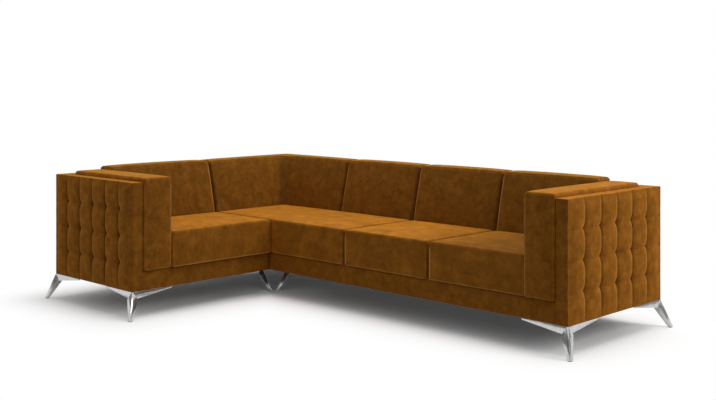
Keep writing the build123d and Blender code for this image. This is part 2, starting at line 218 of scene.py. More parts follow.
velvetLook = {
    "deep": (0.155, 0.055, 0.005), "mid": (0.225, 0.081, 0.007), "lit": (0.315, 0.117, 0.011),
    # glowTint tints the painted sheen; the next two tints are the painted highlight along edges and lips and
    # the painted shade in pleats and folds
    "glowTint": (1.0, 0.97, 0.80), "rimTint": (0.95, 0.48, 0.16, 1), "creaseTint": (0.030, 0.010, 0.001, 1),
    "roughness": 0.82, "roughSpread": 0.08, "gloss": 0.1,
    "sheen": 0.70, "sheenRoughness": 0.30, "sheenTint": (1.0, 0.50, 0.08, 1),
    "softBump": 0.12, "softDepth": 0.004, "fibreBump": 0.25, "fibreDepth": 0.0008,
    # where along X the painted shadow of the right arm on the seat tops starts and is full, and how much
    # painted sheen it takes away
    "turnFrom": 0.36, "turnTo": 0.94, "turnLoss": 0.76,
}


# Velvet: shade is the tone of the pile seen straight on, glow how much brighter its colour is painted at a
# grazing look, a painted sheen, and the rest is how it is brushed; on the seats a painted shadow of the right
# arm takes that painted sheen off the tops towards the arm
def makeVelvet(name, shade, glow, patchSize, streakShare, stretch, shadedByArm=False):
    look = velvetLook
    material, tree = newTree(name)
    coords = addNode(tree, "ShaderNodeTexCoord").outputs
    pile = addNode(tree, "ShaderNodeGroup", {
        "Vector": coords["Object"], "Patch Size": patchSize, "Streak Share": streakShare,
        "Stretch": stretch}, node_tree=pileGroup).outputs
    tones = [np.array(look[tone]) * np.array(shade) for tone in ("deep", "mid", "lit")]
    # The same tones painted brighter for a grazing look: a painted sheen, mixed in by how far the face turns
    # away
    sheenTones = [tone * (1 + glow) * look["glowTint"] for tone in tones]
    flat = colourRamp(tree, pile["Lie"], list(zip((0.0, 0.5, 1.0), tones)))
    bright = colourRamp(tree, pile["Lie"], list(zip((0.0, 0.5, 1.0), sheenTones)))
    facing = addNode(tree, "ShaderNodeLayerWeight", {"Blend": 0.5}).outputs["Facing"]
    # Painted shadow of the right arm: upward faces lose painted sheen along X towards the arm
    if shadedByArm:
        across = addNode(tree, "ShaderNodeSeparateXYZ", {0: coords["Object"]}).outputs["X"]
        upwards = addNode(tree, "ShaderNodeSeparateXYZ", {0: coords["Normal"]}).outputs["Z"]
        armShade = mapRange(tree, across, fromMin=look["turnFrom"], fromMax=look["turnTo"],
                        toMax=look["turnLoss"])
        armShade = maths(tree, "MULTIPLY", armShade, upwards, clamped=True)
        facing = maths(tree, "MULTIPLY", facing, maths(tree, "SUBTRACT", 1.0, armShade))
    colour = mixColours(tree, flat, bright, facing)
    for label in ("rim", "crease"):    # painted highlight along edges and lips, and painted shade in pleats and folds
        share = addNode(tree, "ShaderNodeAttribute", attribute_name=label).outputs["Fac"]
        colour = mixColours(tree, colour, look[label + "Tint"], share)
    rough = mapRange(tree, pile["Lie"], toMin=look["roughness"] + look["roughSpread"],
                     toMax=look["roughness"] - look["roughSpread"])
    soft = addBump(tree, pile["Lie"], look["softBump"], look["softDepth"])
    addSurface(tree, {
        "Base Color": colour, "Roughness": rough,
        "Normal": addBump(tree, pile["Fibre"], look["fibreBump"], look["fibreDepth"], soft),
        "Specular IOR Level": look["gloss"], "Sheen Weight": look["sheen"],
        "Sheen Roughness": look["sheenRoughness"], "Sheen Tint": look["sheenTint"]})
    return material


woodLook = {"roughLow": 0.55, "roughHigh": 0.8, "poreBump": 0.2, "poreDepth": 0.0006}


def makeWood(name, pale, dark, stretch):
    look = woodLook
    material, tree = newTree(name)
    grain = addNode(tree, "ShaderNodeGroup", {
        "Vector": addNode(tree, "ShaderNodeTexCoord").outputs["Object"], "Stretch": stretch},
        node_tree=grainGroup).outputs
    addSurface(tree, {
        "Base Color": colourRamp(tree, grain["Grain"], [(0.35, dark), (0.65, pale)]),
        "Roughness": mapRange(tree, grain["Pores"], toMin=look["roughLow"], toMax=look["roughHigh"]),
        "Normal": addBump(tree, grain["Pores"], look["poreBump"], look["poreDepth"])})
    return material


metalLook = {
    "metallic": 0.85, "castStretch": (34.0, 34.0, 10.0), "castDepth": 0.004, "brushBump": 0.05,
    "brushDepth": 0.0004, "brushFrom": 0.3, "brushTo": 0.7,
}


# Metal with a fine brush along stretch, over the slow waves of its casting
def makeMetal(name, pale, dark, roughLow, roughHigh, stretch, uneven):
    look = metalLook
    material, tree = newTree(name)
    place = addNode(tree, "ShaderNodeTexCoord").outputs["Object"]
    along = vectorMaths(tree, "MULTIPLY", place, stretch)
    brush = addNoise(tree, along, 1.0, detail=4.0, roughness=0.6)
    upright = vectorMaths(tree, "MULTIPLY", place, look["castStretch"])
    waves = addNoise(tree, upright, 1.0, detail=1.0)
    cast = addBump(tree, waves, uneven, look["castDepth"])
    addSurface(tree, {
        "Base Color": colourRamp(tree, brush, [(look["brushFrom"], dark), (look["brushTo"], pale)]),
        "Metallic": look["metallic"],
        "Roughness": mapRange(tree, brush, fromMin=look["brushFrom"], fromMax=look["brushTo"],
                              toMin=roughLow, toMax=roughHigh),
        "Normal": addBump(tree, brush, look["brushBump"], look["brushDepth"], cast)})
    return material


mattLook = {"speckleBump": 0.3, "speckleDepth": 0.0006}


def makeMatt(name, pale, dark, scale, roughness):
    look = mattLook
    material, tree = newTree(name)
    place = addNode(tree, "ShaderNodeTexCoord").outputs["Object"]
    speckle = addNoise(tree, place, scale, detail=4.0, roughness=0.7)
    addSurface(tree, {
        "Base Color": colourRamp(tree, speckle, [(0.35, dark), (0.65, pale)]), "Roughness": roughness,
        "Normal": addBump(tree, speckle, look["speckleBump"], look["speckleDepth"])})
    return material


# All three are one velvet: the seat copy carries the strongest painted sheen, and the back copy is painted
# darker and a little less red as painted shade
seatVelvet = makeVelvet("velvetSeat", shade=(0.78, 0.78, 0.78), glow=2.9, patchSize=10.0, streakShare=0.30,
                        stretch=(7.0, 30.0, 14.0), shadedByArm=True)
backVelvet = makeVelvet("velvetBack", shade=(0.70, 0.74, 0.70), glow=1.70, patchSize=17.0, streakShare=0.15,
                        stretch=(24.0, 24.0, 7.0))
sideVelvet = makeVelvet("velvetSide", shade=(0.82, 0.81, 0.79), glow=2.00, patchSize=19.0, streakShare=0.15,
                        stretch=(24.0, 24.0, 8.0))
legMetal = makeMetal("legPolish", pale=(0.69, 0.69, 0.68), dark=(0.55, 0.55, 0.55), roughLow=0.12,
                     roughHigh=0.20, stretch=(70.0, 70.0, 9.0), uneven=0.35)
zincMetal = makeMetal("zincPlate", pale=(0.62, 0.62, 0.60), dark=(0.48, 0.48, 0.47), roughLow=0.28,
                      roughHigh=0.42, stretch=(60.0, 60.0, 60.0), uneven=0.1)
timberWood = makeWood("sawnTimber", pale=(0.60, 0.44, 0.26), dark=(0.45, 0.30, 0.16),
                      stretch=(3.0, 3.0, 45.0))
plyWood = makeWood("plyBoard", pale=(0.58, 0.42, 0.25), dark=(0.46, 0.32, 0.18), stretch=(2.5, 26.0, 26.0))
underCloth = makeMatt("underCloth", pale=(0.030, 0.030, 0.031), dark=(0.012, 0.012, 0.012), scale=260.0,
                      roughness=0.9)
glidePlastic = makeMatt("glidePlastic", pale=(0.060, 0.060, 0.060), dark=(0.040, 0.040, 0.040), scale=140.0,
                        roughness=0.6)
print("materials made")

pads = []    # soft pieces that wait for the cloth run


# A cube of one metre cut into a grid, with so many cells along each side
def cutBlock(name, counts):
    clearSelection()
    bpy.ops.mesh.primitive_cube_add(size=1, location=(0.5, 0.5, 0.5))
    piece = bpy.context.object
    piece.name = piece.data.name = name
    bpy.ops.object.transform_apply(location=True, rotation=True, scale=True)
    bpy.ops.object.mode_set(mode="EDIT")
    bpy.ops.mesh.select_mode(type="EDGE")
    for axis, count in enumerate(counts):
        bpy.ops.mesh.select_all(action="DESELECT")
        grid = bmesh.from_edit_mesh(piece.data)
        for edge in grid.edges:
            way = edge.verts[1].co - edge.verts[0].co
            edge.select_set(abs(way[axis]) > 0.5 * way.length)
        bmesh.update_edit_mesh(piece.data)
        bpy.ops.mesh.subdivide(number_cuts=count - 1)
    bpy.ops.mesh.select_all(action="DESELECT")
    bpy.ops.object.mode_set(mode="OBJECT")
    return piece


# Where the points of a cut block belong, from the places of the cuts along each side
def gridPlaces(piece, places):
    unit = readPoints(piece)
    return np.stack([places[a][np.rint(unit[:, a] * (len(places[a]) - 1)).astype(int)]
                     for a in range(3)], axis=1)


# Cuts over a rounded edge, evenly spread round its turn
def edgeSteps(margin, rounds):
    turn = [math.pi / 4 * (1 + i / rounds) for i in range(rounds)]
    return [margin * (1 - 1 / math.tan(t)) for t in turn]


def sidePlaces(length, low, high, rounds, middle):
    inner = np.linspace(low, length - high, middle + 1)
    far = [length - step for step in edgeSteps(high, rounds)][::-1]
    return np.array(edgeSteps(low, rounds) + list(inner) + far)


def gridCounts(size, grid, least=4):
    return [max(least, int(round(side / grid))) for side in size]


def arch(share):
    return np.clip(1 - (2 * share - 1) ** 2, 0, 1)


def rise(share):
    share = np.clip(share, 0, 1)
    return share * share * (3 - 2 * share)


# The welt's shape, then how tight the painted highlight sits on an edge and how far onto a side it starts
seamLook = {"weltSharp": 6, "rimSharp": 2, "rimFrom": 0.3}


# A block with rounded edges, and a sewn welt along all but the top ones: returns the piece, its points from
# the low corner, their places before rounding and what lies on an edge; the last argument lists the sides,
# by axis and way, where a highlight is painted along the edges, and how strong; it is kept with the points
def softBlock(name, size, lowEdge, highEdge, rounds, middles, welt=0.0, rim=()):
    places = [sidePlaces(size[a], lowEdge[a], highEdge[a], rounds, middles[a]) for a in range(3)]
    piece = cutBlock(name, [len(p) - 1 for p in places])
    square = gridPlaces(piece, places)
    lowEdge, highEdge = np.array(lowEdge), np.array(highEdge)
    inner = np.clip(square, lowEdge, size - highEdge)
    margin = np.where(square < lowEdge, lowEdge, np.where(square > size - highEdge, highEdge, 1.0))
    out = (square - inner) / margin
    out /= np.linalg.norm(out, axis=1, keepdims=True)
    steep = np.sort(np.abs(out), axis=1)
    belowTop = square[:, 2] < size[2] - highEdge[2]
    turn = 2 * steep[:, 1] * steep[:, 2] * belowTop    # 1 half way round an edge
    ridge = welt * turn ** seamLook["weltSharp"]
    # Painted highlight along the edges of the listed sides
    litShare = np.zeros(len(square))
    for axis, way, reach in rim:
        onSide = way * out[:, axis] > seamLook["rimFrom"]
        litShare = np.maximum(litShare, reach * turn ** seamLook["rimSharp"] * onSide)
    writeValues(piece, "rim", litShare)
    onEdge = ((square < lowEdge + hair) | (square > size - highEdge - hair)).sum(axis=1) >= 2
    return piece, inner + out * (margin + ridge[:, None]), square, onEdge


# A boxed cushion with a crowned top: returns the piece, its points from the low corner, their shares of its
# sides and what lies on an edge
def boxCushion(name, size, look):
    piece, points, square, onEdge = softBlock(
        name, size, (look["edge"], look["edge"], look["bottom"]), (look["edge"], look["edge"], look["top"]),
        look["rounds"], gridCounts(size - look["border"], look["grid"]), look["welt"], look["rim"])
    share = square / size
    lift = rise((share[:, 2] - 0.5) * 2)
    points[:, 2] += look["crown"] * lift * np.sqrt(arch(share[:, 0]) * arch(share[:, 1]))
    return piece, points, share, onEdge


# 0 at the back of a cushion and 1 at its front, which faces along an axis one way or the other
def frontShare(share, front, way):
    return share[:, front] if way > 0 else 1 - share[:, front]


# What waits for the cloth run; proud is how far it may stand out of its solid's box, low and high sides
def addPad(piece, node, body, material, look, pinned, proudLow=(0, 0, 0), proudHigh=(0, 0, 0), levels=1):
    low, high = nodeBox(node)
    pads.append({"piece": piece, "node": node, "body": body, "material": material, "fill": look["fill"],
                 "pinned": pinned, "pressure": look["pressure"], "cap": look["cap"], "levels": levels,
                 "low": low - np.array(proudLow), "high": high + np.array(proudHigh)})


seatLook = {
    "edge": 0.012, "top": 0.018, "bottom": 0.009, "rounds": 5, "grid": 0.022, "border": 0.02, "welt": 0.006,
    "crown": 0.004, "draw": 0.002, "pressure": 6.0, "cap": 0.015, "fill": 0.8, "proudTop": 0.006,
    "proud": 0.010, "proudFrom": 0.01, "proudOver": 0.08, "reach": 0.006, "reachOver": 0.03,
    # painted highlight along the edges of the −X side and of the bottom
    "rim": ((0, -1, 0.6), (2, -1, 0.24)),
}


# side is the axis along which the seats stand side by side, with the insets of both sides; front is the axis
# and way that they face, where the main seats reach a little over their rail
def makeSeat(name, node, body, insets, side, front, way):
    look = seatLook
    low, high = nodeBox(node)
    high[2] -= look["crown"]
    low[side] += insets[0]
    high[side] -= insets[1]
    piece, points, share, onEdge = boxCushion(name, high - low, look)
    for a, b in ((0, 1), (1, 0)):
        points[:, a] -= look["draw"] * arch(share[:, b]) * (2 * share[:, a] - 1)
    points += low
    proud = np.full(len(points), look["proud"])
    reach = np.full(len(points), look["reach"] if way < 0 else 0.0)
    if node == "seat_cushion_corner":    # behind the return seat its front stays flat
        past = points[:, 0] - nodeBox("seat_cushion_return")[1][0]
        proud *= rise((past - look["proudFrom"]) / look["proudOver"])
        reach *= rise(past / look["reachOver"])
    points[:, front] += way * reach * frontShare(share, front, way)
    writePoints(piece, points)
    proudLow, proudHigh = np.zeros((len(points), 3)), np.zeros((len(points), 3))
    proudLow[:, side], proudHigh[:, side] = -insets[0], -insets[1]
    (proudLow if way < 0 else proudHigh)[:, front] = proud + reach
    proudHigh[:, 2] = look["proudTop"]
    addPad(piece, node, body, seatVelvet, look, onEdge | (share[:, 2] < onFace), proudLow, proudHigh)


for name, node, body, insets in (
        ("seatCorner", "seat_cushion_corner", "corner_seat", (0.001, 0.0)),
        ("seatMain1", "seat_cushion_main_1", "main_1_seat", (0.012, 0.0)),
        ("seatMain2", "seat_cushion_main_2", "main_2_seat", (0.015, 0.001))):
    makeSeat(name, node, body, insets, side=0, front=1, way=-1)
makeSeat("seatReturn", "seat_cushion_return", "return_seat", (0.008, 0.002), side=1, front=0, way=1)
print("seat cushions shaped")

backLook = {
    "edge": 0.018, "top": 0.015, "front": 0.016, "rear": 0.010, "bottom": 0.004, "rounds": 5, "grid": 0.024,
    "inset": 0.005, "foot": 0.203, "head": 0.122, "kink": 0.452, "belly": 0.004, "drop": 0.001,
    "crown": 0.010, "crownFrom": 0.6, "crownFlat": 0.25, "turnEase": 0.03, "turnReach": 0.12,
    # the last value is the strength of the painted highlight on one end
    "pressure": 4.0, "cap": 0.010, "fill": 0.75, "rim": 0.45,
}


# Block of a backrest: x along it, y forwards from its rear face, z up; the front leans back above the kink
def backBlock(name, length, low, high, rim=()):
    look = backLook
    size = np.array([length, look["foot"], high - low - look["crown"] - look["drop"]])
    piece, points, square, onEdge = softBlock(
        name, size, (look["edge"], look["rear"], look["bottom"]), (look["edge"], look["front"], look["top"]),
        look["rounds"], gridCounts(size, look["grid"]), rim=rim)
    share = square / size
    lean = np.clip((points[:, 2] + low - look["kink"]) / (high - look["kink"]), 0, 1)
    depth = look["foot"] + (look["head"] - look["foot"]) * lean + look["belly"] * arch(lean)
    points[:, 1] *= depth / look["foot"]
    lift = rise((share[:, 2] - look["crownFrom"]) / (1 - look["crownFrom"]))
    crown = arch(share[:, 0]) ** look["crownFlat"] * np.sqrt(arch(share[:, 1]))
    points[:, 2] += look["crown"] * lift * crown
    pinned = onEdge | (share[:, 2] < onFace) | (share[:, 1] < onFace)
    return piece, points, pinned


def turnOutwards(piece):
    makeActive(piece)
    bpy.ops.object.mode_set(mode="EDIT")
    bpy.ops.mesh.select_all(action="SELECT")
    bpy.ops.mesh.normals_make_consistent(inside=False)
    bpy.ops.object.mode_set(mode="OBJECT")


# A backrest along X or Y; the gaps are shares of the inset at its low and high end
def makeBack(name, node, alongX, lowGap=1.0, highGap=1.0):
    look = backLook
    low, high = nodeBox(node)
    run = 0 if alongX else 1
    low[run] += look["inset"] * lowGap
    high[run] -= look["inset"] * highGap
    # Painted highlight along the edges of one end: −X on the main backs, +Y on the return
    rim = ((0, -1 if alongX else 1, look["rim"]),)
    piece, points, pinned = backBlock(name, high[run] - low[run], low[2], high[2], rim)
    along, deep, up = points.T
    if alongX:
        placed = np.stack([low[0] + along, high[1] - deep, low[2] + up], axis=1)
    else:
        placed = np.stack([low[0] + deep, low[1] + along, low[2] + up], axis=1)
    writePoints(piece, placed)
    turnOutwards(piece)
    addPad(piece, node, frameBody, backVelvet, look, pinned)


# The corner backrest is one block folded round the corner, with its middle on the mitre
def makeCornerBack(name, node):
    look = backLook
    low, high = nodeBox(node)
    high[0] -= look["inset"]
    low[1] += look["inset"]
    reachX, reachY = high[0] - low[0], high[1] - low[1]
    piece, points, pinned = backBlock(name, reachX + reachY, low[2], high[2])
    along, deep = points[:, 0] - reachY, points[:, 1]
    onMain = along >= 0
    span = np.where(onMain, reachX, reachY)
    run = deep + np.abs(along) * (span - deep) / span
    nearTurn = np.clip(1 - np.abs(along) / look["turnReach"], 0, 1) ** 2
    ease = look["turnEase"] * nearTurn * rise((deep / look["head"] - 0.5) * 2)
    placed = np.stack([low[0] + np.where(onMain, run, deep) + ease,
                       high[1] - np.where(onMain, deep, run) - ease,
                       low[2] + points[:, 2]], axis=1)
    writePoints(piece, placed)
    turnOutwards(piece)
    addPad(piece, node, frameBody, backVelvet, look, pinned)


makeBack("backMain1", "back_cushion_main_1", alongX=True)
makeBack("backMain2", "back_cushion_main_2", alongX=True)
makeBack("backMain3", "back_cushion_main_3", alongX=True, highGap=0)
makeBack("backReturn", "back_cushion_return", alongX=False, lowGap=0)
makeCornerBack("backCorner", "back_cushion_corner")
print("backrest cushions shaped")

armLook = {
    "edge": 0.014, "top": 0.018, "bottom": 0.009, "rounds": 5, "grid": 0.024, "border": 0.02, "welt": 0.006,
    "crown": 0.004, "pressure": 3.0, "cap": 0.006, "fill": 0.9, "proud": 0.004, "reach": 0.006,
    # painted highlight along the edges of the −X, +Y and bottom sides
    "rim": ((0, -1, 0.28), (1, 1, 0.28), (2, -1, 0.10)),
}


# wider is how far the pad goes past its solid towards the seat
def makeArm(name, node, front, way, wider):
    look = armLook
    low, high = nodeBox(node)
    high[2] -= look["crown"]
    high[1] += wider
    piece, points, share, onEdge = boxCushion(name, high - low, look)
    points[:, front] += way * look["reach"] * frontShare(share, front, way)
    writePoints(piece, points + low)
    proudLow, proudHigh = np.zeros(3), np.array([0, wider, 0])
    (proudLow if way < 0 else proudHigh)[front] += look["proud"] + look["reach"]
    addPad(piece, node, frameBody, sideVelvet, look, onEdge | (share[:, 2] < onFace), proudLow, proudHigh)


makeArm("armRight", "arm_pad_right", front=1, way=-1, wider=0.0)
makeArm("armReturn", "arm_pad_return", front=0, way=1, wider=0.008)
print("arm pads shaped")

# Rails and outside backs are thinly padded over timber and board
thinLook = {"edge": 0.004, "rounds": 3, "grid": 0.03, "pressure": 2.0, "cap": 0.002, "fill": 0.95}


# The cuts are how far the pad stays inside its solid, low and high sides
def makeThinPad(name, node, lowCut=(0, 0, 0), highCut=(0, 0, 0)):
    look = thinLook
    low, high = nodeBox(node)
    low, high = low + np.array(lowCut), high - np.array(highCut)
    size = high - low
    edges = (look["edge"],) * 3
    piece, points, square, onEdge = softBlock(
        name, size, edges, edges, look["rounds"], gridCounts(size, look["grid"], least=3))
    writePoints(piece, points + low)
    addPad(piece, node, frameBody, sideVelvet, look, onEdge)


# Set back under the seats, with a slit below them
makeThinPad("railMain", "front_rail_main", lowCut=(0, 0.006, 0), highCut=(0, 0, 0.005))
makeThinPad("railReturn", "front_rail_return", highCut=(0.003, 0, 0.005))
for name, node in {
    "outsideBackMain": "back_panel_main", "outsideBackCornerMain": "back_panel_corner_main",
    "outsideBackCornerReturn": "back_panel_corner_return", "outsideBackReturn": "back_panel_return",
}.items():
    makeThinPad(name, node)
print("rails and outside backs shaped")

tuftLook = {
    "columns": 6, "rows": 4, "thick": 0.068, "thickCells": 4, "edge": 0.003, "rounds": 3,
    "cellAcross": 26, "cellUp": 24, "crowding": 0.8, "leastStep": 1e-4,
    "pleat": 0.010, "steep": 2.5, "pinch": 0.009, "pinchReach": 0.17, "steepAtTuft": 1.9,
    "edgeFade": 0.10, "edgeShare": 0.25, "fold": 0.0045, "foldReach": 0.05, "foldAcross": 0.35,
    # the last three: painted shade in the rows' folds, and where and how wide the painted highlight lies
    # across a pleat
    "swell": 0.002, "out": 0.009, "outFade": 0.09, "foldShut": 0.52, "lipAt": 0.36, "lipWidth": 0.14,
    "pressure": 0, "cap": 0, "fill": 0.85,    # no cloth run, which would lose the narrow pleats
}


# Depth of the outer face below its crest: steep upright pleats, deeper and wider where a row of tufts
# pinches them, and a faint fold along each row. With it come the painted shade in the pleats and folds, and
# the painted highlight along one lip of each pleat: the near or the far one, by the sign of the last argument
def tuftDepth(across, up, pleatShade, lipHighlight):
    look = tuftLook
    column, row = across * look["columns"], up * look["rows"]
    nearColumn, nearRow = np.rint(column), np.rint(row)
    inColumn = (nearColumn > 0) & (nearColumn < look["columns"])
    inRow = (nearRow > 0) & (nearRow < look["rows"])
    fromColumn, fromRow = 2 * np.abs(column - nearColumn), np.abs(row - nearRow)
    pinch = np.where(inRow, np.exp(-(fromRow / look["pinchReach"]) ** 2), 0)
    power = look["steep"] + (look["steepAtTuft"] - look["steep"]) * pinch
    bulge = np.clip(1 - (1 - np.clip(fromColumn, 0, 1)) ** power, 0, 1) ** (1 / power)
    fade = look["edgeShare"] + (1 - look["edgeShare"]) * rise(np.minimum(up, 1 - up) / look["edgeFade"])
    pleat = np.where(inColumn, 1 - bulge, 0)
    fold = np.where(inRow, np.exp(-(fromRow / look["foldReach"]) ** 2), 0)
    depth = (look["pleat"] + look["pinch"] * pinch) * fade * pleat
    depth += look["fold"] * fold * (look["foldAcross"] + (1 - look["foldAcross"]) * pleat)
    depth += look["swell"] * np.where(inRow, 1 - 2 * fromRow, 0) ** 2 * fade
    # Painted shade in the pleats and folds, and a painted highlight on one lip of each pleat
    foldShaded = look["foldShut"] * fold * np.clip(1 - fromColumn, 0, 1)
    crease = pleatShade * np.maximum(fade * pleat ** 2, foldShaded)
    litShare = abs(lipHighlight) * fade * np.exp(-((pleat - look["lipAt"]) / look["lipWidth"]) ** 2)
    return depth, {"crease": crease, "rim": np.where(lipHighlight * (column - nearColumn) > 0, litShare, 0)}


# Shares along a row of cells, close together at the cells' edges
def cellShares(cells, perCell):
    even = np.linspace(0, 1, perCell + 1)
    crowded = (1 - np.cos(math.pi * even)) / 2
    one = tuftLook["crowding"] * crowded + (1 - tuftLook["crowding"]) * even
    return np.concatenate([[(c + s) / cells for s in one[:-1]] for c in range(cells)] + [[1.0]])


def tuftPlaces(length, cells, perCell):
    edge = tuftLook["edge"]
    clear = edge + tuftLook["leastStep"]
    near = np.array(edgeSteps(edge, tuftLook["rounds"]))
    inner = cellShares(cells, perCell) * length
    inner = inner[(inner > clear) & (inner < length - clear)]
    return np.concatenate([near, [edge], inner, [length - edge], (length - near)[::-1]])


# A tufted end panel along X or Y, made with its outer face at y = 0; the face stands out of its flat border
def makeTufted(name, node, alongX, pleatShade, lipHighlight):
    look = tuftLook
    edge, thick = look["edge"], look["thick"]
    low, high = nodeBox(node)
    run = 0 if alongX else 1
    length, height = high[run] - low[run], high[2] - low[2]
    places = [tuftPlaces(length, look["columns"], look["cellAcross"]),
              sidePlaces(thick, edge, edge, look["rounds"], look["thickCells"]),
              tuftPlaces(height, look["rows"], look["cellUp"])]
    piece = cutBlock(name, [len(p) - 1 for p in places])
    square = gridPlaces(piece, places)
    inner = np.clip(square, edge, np.array([length, thick, height]) - edge)
    out = square - inner
    points = inner + edge * out / np.linalg.norm(out, axis=1, keepdims=True)
    outer = square[:, 1] < hair
    across, up = square[outer, 0] / length, square[outer, 2] / height
    border = np.minimum(np.minimum(across, 1 - across), np.minimum(up, 1 - up))
    depth, pile = tuftDepth(across, up, pleatShade, lipHighlight)
    points[outer, 1] += depth - look["out"] * rise(border / look["outFade"])
    # The painted shade and painted highlight are kept with the outer face's points
    for label, share in pile.items():
        values = np.zeros(len(points))
        values[outer] = share
        writeValues(piece, label, values)
    along, deep, up = points.T
    if alongX:
        placed = np.stack([low[0] + along, high[1] - thick + deep, low[2] + up], axis=1)
    else:
        placed = np.stack([low[0] + thick - deep, low[1] + along, low[2] + up], axis=1)
    writePoints(piece, placed)
    turnOutwards(piece)
    addPad(piece, node, frameBody, sideVelvet, look, np.ones(len(points), bool), levels=0)


# Each panel's two numbers are its painted shade in the pleats and its painted highlight on one lip, the sign
# picking the lip
makeTufted("endPanelReturn", "end_panel_return", alongX=True, pleatShade=0.62, lipHighlight=0.13)
makeTufted("endPanelRight", "end_panel_right", alongX=False, pleatShade=0.40, lipHighlight=-0.19)
print("tufted end panels shaped")

clothLook = {"frames": 20, "quality": 4, "mass": 0.3, "tension": 15.0, "bending": 0.5}


# The covers swell between their pinned edges and stop at what stands beside them
def runCloth():
    swelling = [pad for pad in pads if pad["pressure"] > 0]
    for pad in swelling:
        piece = pad["piece"]
        pad["rest"] = readPoints(piece)
        pins = piece.vertex_groups.new(name="seams")
        pins.add([int(i) for i in np.flatnonzero(pad["pinned"])], 1.0, "REPLACE")
        cloth = piece.modifiers.new("swell", "CLOTH")
        cloth.settings.quality = clothLook["quality"]
        cloth.settings.mass = clothLook["mass"]
        cloth.settings.tension_stiffness = cloth.settings.compression_stiffness = clothLook["tension"]
        cloth.settings.bending_stiffness = clothLook["bending"]
        cloth.settings.vertex_group_mass = "seams"
        cloth.settings.use_pressure = True
        cloth.settings.uniform_pressure_force = pad["pressure"]
        cloth.settings.effector_weights.gravity = 0
        cloth.collision_settings.use_collision = False
        cloth.point_cache.frame_end = clothLook["frames"]
    for step in range(1, clothLook["frames"] + 1):
        bpy.context.scene.frame_set(step)
    for pad in swelling:
        piece = pad["piece"]
        makeActive(piece)
        bpy.ops.object.modifier_apply(modifier="swell")
        piece.vertex_groups.clear()
        moved = readPoints(piece) - pad["rest"]
        reach = np.linalg.norm(moved, axis=1, keepdims=True)
        moved *= np.minimum(1, pad["cap"] / np.maximum(reach, 1e-9))
        writePoints(piece, np.clip(pad["rest"] + moved, pad["low"], pad["high"]))
    bpy.context.scene.frame_set(1)


def finishSoft(pad):
    piece = pad["piece"]
    makeActive(piece)
    if pad["levels"]:
        smooth = piece.modifiers.new("smooth", "SUBSURF")
        smooth.levels = smooth.render_levels = pad["levels"]
        bpy.ops.object.modifier_apply(modifier="smooth")
    bpy.ops.object.shade_smooth()
    piece.data.materials.append(pad["material"])
    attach(piece, pad["body"])
    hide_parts(pad["node"])


runCloth()
for pad in pads:
    finishSoft(pad)
print("soft pieces finished:", len(pads))

dustLook = {"grid": 24, "sag": 0.004, "sagPower": 1.5, "thick": 0.0012, "lift": 0.0006}


# The dust covers are cloth stapled under the timbers, slack by a few millimetres between them
def makeDustCover(name, node):
    look = dustLook
    low, high = nodeBox(node)
    size, middle = high - low, (low + high) / 2
    clearSelection()
    bpy.ops.mesh.primitive_grid_add(x_subdivisions=look["grid"], y_subdivisions=look["grid"], size=1)
    piece = bpy.context.object
    piece.name = piece.data.name = name
    bpy.ops.object.mode_set(mode="EDIT")
    bpy.ops.mesh.select_all(action="SELECT")
    bpy.ops.transform.resize(value=(size[0], size[1], 1))
    bpy.ops.transform.translate(value=(middle[0], middle[1], low[2] + look["lift"]))
    bpy.ops.object.mode_set(mode="OBJECT")
    points = readPoints(piece)
    share = (points - low) / size
    points[:, 2] -= look["sag"] * (arch(share[:, 0]) * arch(share[:, 1])) ** look["sagPower"]
    writePoints(piece, points)
    cloth = piece.modifiers.new("cloth", "SOLIDIFY")
    cloth.thickness = look["thick"]
    cloth.offset = 1
    makeActive(piece)
    bpy.ops.object.modifier_apply(modifier="cloth")
    bpy.ops.object.shade_smooth()
    piece.data.materials.append(underCloth)
    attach(piece, frameBody)
    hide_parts(node)


makeDustCover("dustCoverMain", "dust_cover_main")
makeDustCover("dustCoverCorner", "dust_cover_corner")
makeDustCover("dustCoverReturn", "dust_cover_return")
print("dust covers hung")

legLook = {
    "bevel": 0.0035, "segments": 2, "sharp": math.radians(18), "joinWithin": 1e-5,
    "flatWithin": math.radians(1),
}


# Each leg is the frame's own casting with its triangles joined and its edges eased
def makeLeg(node):
    look = legLook
    words = node.split("_")
    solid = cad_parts[node]
    piece = bpy.data.objects.new(words[0] + "".join(w.title() for w in words[1:]), solid.data.copy())
    piece.data.name = piece.name
    bpy.context.scene.collection.objects.link(piece)
    makeActive(piece)
    bpy.ops.object.mode_set(mode="EDIT")
    bpy.ops.mesh.select_all(action="SELECT")
    bpy.ops.mesh.remove_doubles(threshold=look["joinWithin"])
    bpy.ops.mesh.dissolve_limited(angle_limit=look["flatWithin"])
    bpy.ops.object.mode_set(mode="OBJECT")
    ease = piece.modifiers.new("ease", "BEVEL")
    ease.width = look["bevel"]
    ease.segments = look["segments"]
    ease.limit_method = "ANGLE"
    ease.angle_limit = look["sharp"]
    bpy.ops.object.modifier_apply(modifier="ease")
    bpy.ops.object.shade_smooth()
    piece.data.materials.clear()
    piece.data.materials.append(legMetal)
    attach(piece, frameBody)
    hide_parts(node)


legNodes = [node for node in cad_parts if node.startswith("leg_") and node != "leg_screws"]
for node in legNodes:
    makeLeg(node)
print("legs eased:", len(legNodes))


# What stays as the frame gives it gets its own finish
def dressNode(node, material):
    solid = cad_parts[node]
    solid.data.materials.clear()
    solid.data.materials.append(material)


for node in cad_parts:
    if node in ("leg_screws", "module_bolts"):
        dressNode(node, zincMetal)
    elif "timber" in node:
        dressNode(node, timberWood)
    elif "board" in node or node.startswith("seat_deck"):
        dressNode(node, plyWood)
    elif node == "foot_glides":
        dressNode(node, glidePlastic)
print("timbers, boards and fixings dressed")

